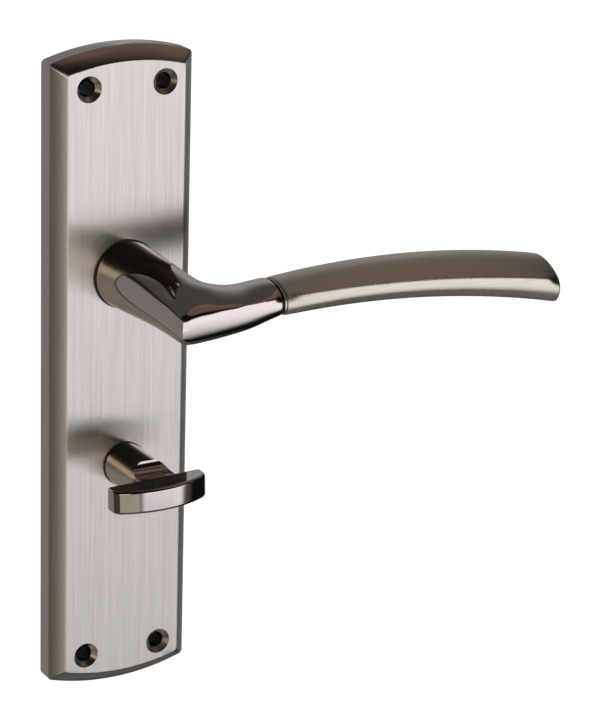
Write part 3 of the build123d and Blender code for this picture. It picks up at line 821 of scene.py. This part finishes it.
def turn_bar():
    """Thumb bar: flat behind, bowed in front, with soft corners."""
    bow = arc((BAR_HALF_LENGTH, BAR_END_FRONT), (0, BAR_FRONT), (-BAR_HALF_LENGTH, BAR_END_FRONT), 36)
    left, right = (-BAR_HALF_LENGTH, BAR_END_FRONT), (BAR_HALF_LENGTH, BAR_END_FRONT)
    behind_left, behind_right = (-BAR_HALF_LENGTH, BAR_BACK), (BAR_HALF_LENGTH, BAR_BACK)
    plan = bow[3:-2] + rounded(left, bow[-2], behind_left, BAR_CORNER)
    plan += [behind_left, behind_right] + rounded(right, behind_right, bow[2], BAR_CORNER)
    rings = []
    for z in (-BAR_HALF_HEIGHT, BAR_HALF_HEIGHT):
        rings.append([point(x + BAR_SHIFT, depth, z) for x, depth in plan])
    bar = rolled("turn_bar", rings)
    soften(bar, BAR_EDGE, segments=4, angle=40)
    place_bar = Matrix.Translation(point(0, 0, TURN_Z - BAR_DROP)) @ Matrix.Rotation(-BAR_TILT, 4, "Y")
    bar.data.transform(place_bar)
    return bar


def scallop(side):
    """Round cutter across the shank, which leaves a hollow running down to the bar."""
    depth, height = SCALLOP_CENTRE
    return crossbar(SCALLOP_RADIUS, (0, depth, TURN_Z + side * height), 2 * TURN_SHANK_RADIUS, "X")


def turn_boss():
    """Bearing boss with its clip groove, a little way into the shank."""
    boss = cylinder(TURN_BOSS_RADIUS, TURN_BOSS_BACK, TURN_START + 1, z=TURN_Z)
    groove, back, front = TURN_GROOVE
    ring = cylinder(TURN_BOSS_RADIUS + 1, back, front, z=TURN_Z)
    combine(ring, cylinder(groove, back - 1, front + 1, z=TURN_Z), "DIFFERENCE")
    combine(boss, ring, "DIFFERENCE")
    return boss


def turn_knob():
    shank = cylinder(TURN_SHANK_RADIUS, TURN_START, BAR_BACK + 1.5, z=TURN_Z, sides=128)
    low, high = SCALLOP_CENTRE[1] - SCALLOP_RADIUS, TURN_SHANK_RADIUS + 2
    for side in (1, -1):
        combine(shank, scallop(side), "DIFFERENCE")
        above = sorted((TURN_Z + side * low, TURN_Z + side * high))
        across = (-TURN_SHANK_RADIUS - 1, TURN_SHANK_RADIUS + 1)
        headroom = block(across, (SCALLOP_CENTRE[0], BAR_BACK + 3), above)
        combine(shank, headroom, "DIFFERENCE")
    combine(shank, turn_bar(), "UNION")
    combine(shank, turn_boss(), "UNION")
    socket = (-TURN_SOCKET_HALF, TURN_SOCKET_HALF)
    socket_z = [TURN_Z + z for z in socket]
    combine(shank, block(socket, (TURN_BOSS_BACK - 1, TURN_SOCKET_END), socket_z), "DIFFERENCE")
    pin_radius, pin_depth = PIN_HOLE
    combine(shank, crossbar(pin_radius, (0, pin_depth, TURN_Z), TURN_BOSS_RADIUS + 1, "X"), "DIFFERENCE")
    smooth(shank, 35)
    finish_with(shank, "WEIGHTED_NORMAL", keep_sharp=True, weight=60)
    shank.name = "turn_knob_casting"
    return shank


# ---------------------------------------------------------------- build
plate_nickel = satin_nickel_plate()
grip_nickel = satin_nickel_grip()
mirror_nickel = dark_nickel()
nylon = black_nylon()
zinc = zinc_plated()
spring = spring_steel()

place(backplate(), "plate", plate_nickel, "satin_nickel_plate", "backplate")
place(lever_grip(), "lever", grip_nickel, "satin_nickel_grip", "lever_grip")
place(joint_ring(), "lever", nylon, "black_nylon", "joint_ring")
place(lever_neck(), "lever", mirror_nickel, "polished_dark_nickel", "lever_neck")
lever_bush = flanged_bush("lever_bush_ring", 8.05, 9.35, 10.1, 0.7, 4.3, 0)
place(lever_bush, "plate", nylon, "black_nylon", "lever_bush")
turn_bush = flanged_bush("turn_bush_ring", 5.05, 6.0, 6.6, 0.6, 5.2, TURN_Z)
place(turn_bush, "plate", nylon, "black_nylon", "turn_bush")
place(turn_knob(), "turn", mirror_nickel, "polished_dark_nickel", "turn_knob")

finishes = {"black_nylon": nylon, "zinc_plated_steel": zinc, "spring_steel": spring}
for subpart in frame["record"]["subparts"]:
    node = frame["nodes"][subpart["node"]]
    if subpart["material_slot"] in finishes:
        node.data.materials.clear()
        node.data.materials.append(finishes[subpart["material_slot"]])


# ---------------------------------------------------------------- studio
def studio():
    deselect()
    bpy.ops.mesh.primitive_plane_add(size=40, location=(0, 0, -1.2))
    floor = bpy.context.object
    floor.name = "pale_floor"
    paint, bsdf = new_material("matt_white_floor", "#F4F4F4", 0.0, 0.9)
    bsdf.inputs["Emission Color"].default_value = (1, 1, 1, 1)
    bsdf.inputs["Emission Strength"].default_value = 1.0
    floor.data.materials.append(paint)
    floor.visible_glossy = False
    floor.visible_diffuse = False


def window(world, angles, span, softness):
    """1 between two angles in degrees, falling smoothly to 0 over the softness before and after."""
    (start, end), (before, after) = span, softness
    rising = add(world, "ShaderNodeMapRange", {"Value": angles}, interpolation_type="SMOOTHSTEP",
                 from_min=radians(start - before), from_max=radians(start))
    falling = add(world, "ShaderNodeMapRange", {"Value": angles}, interpolation_type="SMOOTHSTEP",
                  from_min=radians(end), from_max=radians(end + after), to_min=1.0, to_max=0.0)
    return add(world, "ShaderNodeMath", {0: rising.outputs["Result"], 1: falling.outputs["Result"]},
               operation="MULTIPLY").outputs[0]


# Soft panels round the object: name, side of the door, turn from straight ahead on that side
# towards +X and its end, softness there, lowest and highest angle, softness below and above,
# colour, strength.
PANELS = (
    ("key", "front", (2, 44), (8, 8), (-10, 3), (36, 12), "#FAF8FB", 1.62),
    ("key_edge", "front", (38, 50), (6, 6), (-24, 4), (10, 10), "#FFFFF8", 0.10),
    ("halo", "front", (-6, 56), (7, 7), (-36, 2), (7, 7), "#E4E0D6", 0.12),
    ("champagne", "front", (-48, -8), (6, 6), (-40, -4), (6, 6), "#E8E0C8", 0.70),
    ("warm_left", "front", (-52, -20), (6, 6), (2, 12), (5, 5), "#F4E2BC", 1.9),
    ("behind_low", "back", (-68, 68), (6, 6), (-42, 11), (6, 6), "#E8DEDA", 0.41),
    ("behind_right", "back", (-26, 40), (14, 14), (17, 25), (10, 26), "#DCDCE0", 0.54),
    ("above", "back", (-50, 66), (14, 14), (26, 76), (10, 14), "#CEC8BE", 0.15),
    ("overhead", "front", (42, 108), (8, 12), (44, 80), (12, 12), "#D0AC98", 0.32),
    ("floor", "front", (-110, 150), (10, 10), (-95, -60), (8, 8), "#EADFD8", 0.20),
    ("left_front", "front", (-90, -64), (9, 9), (-50, 0), (9, 9), "#D8C8B0", 0.12),
)


def lit_world():
    """Procedural studio: soft panels by direction over a dim room, and white behind the object."""
    world = bpy.data.worlds.new("studio")
    bpy.context.scene.world = world
    world.use_nodes = True
    tree = world.node_tree
    tree.nodes.clear()
    direction = add(world, "ShaderNodeTexCoord")
    parts = add(world, "ShaderNodeSeparateXYZ", {"Vector": direction.outputs["Generated"]})
    away = add(world, "ShaderNodeMath", {0: parts.outputs["Y"], 1: -1.0}, operation="MULTIPLY")
    turns = {}
    for side, ahead in (("front", away.outputs[0]), ("back", parts.outputs["Y"])):
        turn = add(world, "ShaderNodeMath", {0: parts.outputs["X"], 1: ahead}, operation="ARCTAN2")
        turns[side] = turn.outputs[0]
    lift = add(world, "ShaderNodeMath", {0: parts.outputs["Z"]}, operation="ARCSINE")
    total = add(world, "ShaderNodeBackground", color=linear("#A8A29C"), strength=0.025).outputs[0]
    for name, side, across, across_soft, upwards, upwards_soft, colour, strength in PANELS:
        wide = window(world, turns[side], across, across_soft)
        tall = window(world, lift.outputs[0], upwards, upwards_soft)
        shape = add(world, "ShaderNodeMath", {0: wide, 1: tall}, operation="MULTIPLY")
        power = add(world, "ShaderNodeMath", {0: shape.outputs[0], 1: strength}, operation="MULTIPLY")
        light = add(world, "ShaderNodeBackground", {"Strength": power.outputs[0]}, color=linear(colour))
        light.name = name
        total = add(world, "ShaderNodeAddShader", {0: total, 1: light.outputs[0]}).outputs[0]
    white = add(world, "ShaderNodeBackground", color=(1, 1, 1, 1), strength=1.0)
    path = add(world, "ShaderNodeLightPath")
    seen = add(world, "ShaderNodeMixShader", {
        "Fac": path.outputs["Is Camera Ray"], 1: total, 2: white.outputs[0]})
    add(world, "ShaderNodeOutputWorld", {"Surface": seen.outputs[0]})


def camera():
    turn, lift, roll = radians(-30.17), radians(19.035), radians(1.588)
    back = Vector((sin(turn) * cos(lift), -cos(turn) * cos(lift), sin(lift)))
    level = Vector((0, 0, 1)).cross(back).normalized()
    upright = back.cross(level)
    right = cos(roll) * level + sin(roll) * upright
    up = cos(roll) * upright - sin(roll) * level
    data = bpy.data.cameras.new("camera")
    data.lens = 157.95
    data.shift_x = 0.0218
    data.shift_y = -0.0019
    data.clip_start = 0.01
    view = bpy.data.objects.new("camera", data)
    bpy.context.scene.collection.objects.link(view)
    view.matrix_world = Matrix.Translation((-0.38686, -0.76475, 0.26852)) @ Matrix(
        (right, up, back)).transposed().to_4x4()
    bpy.context.scene.camera = view


studio()
lit_world()
camera()

bpy.context.scene.view_settings.view_transform = "Standard"
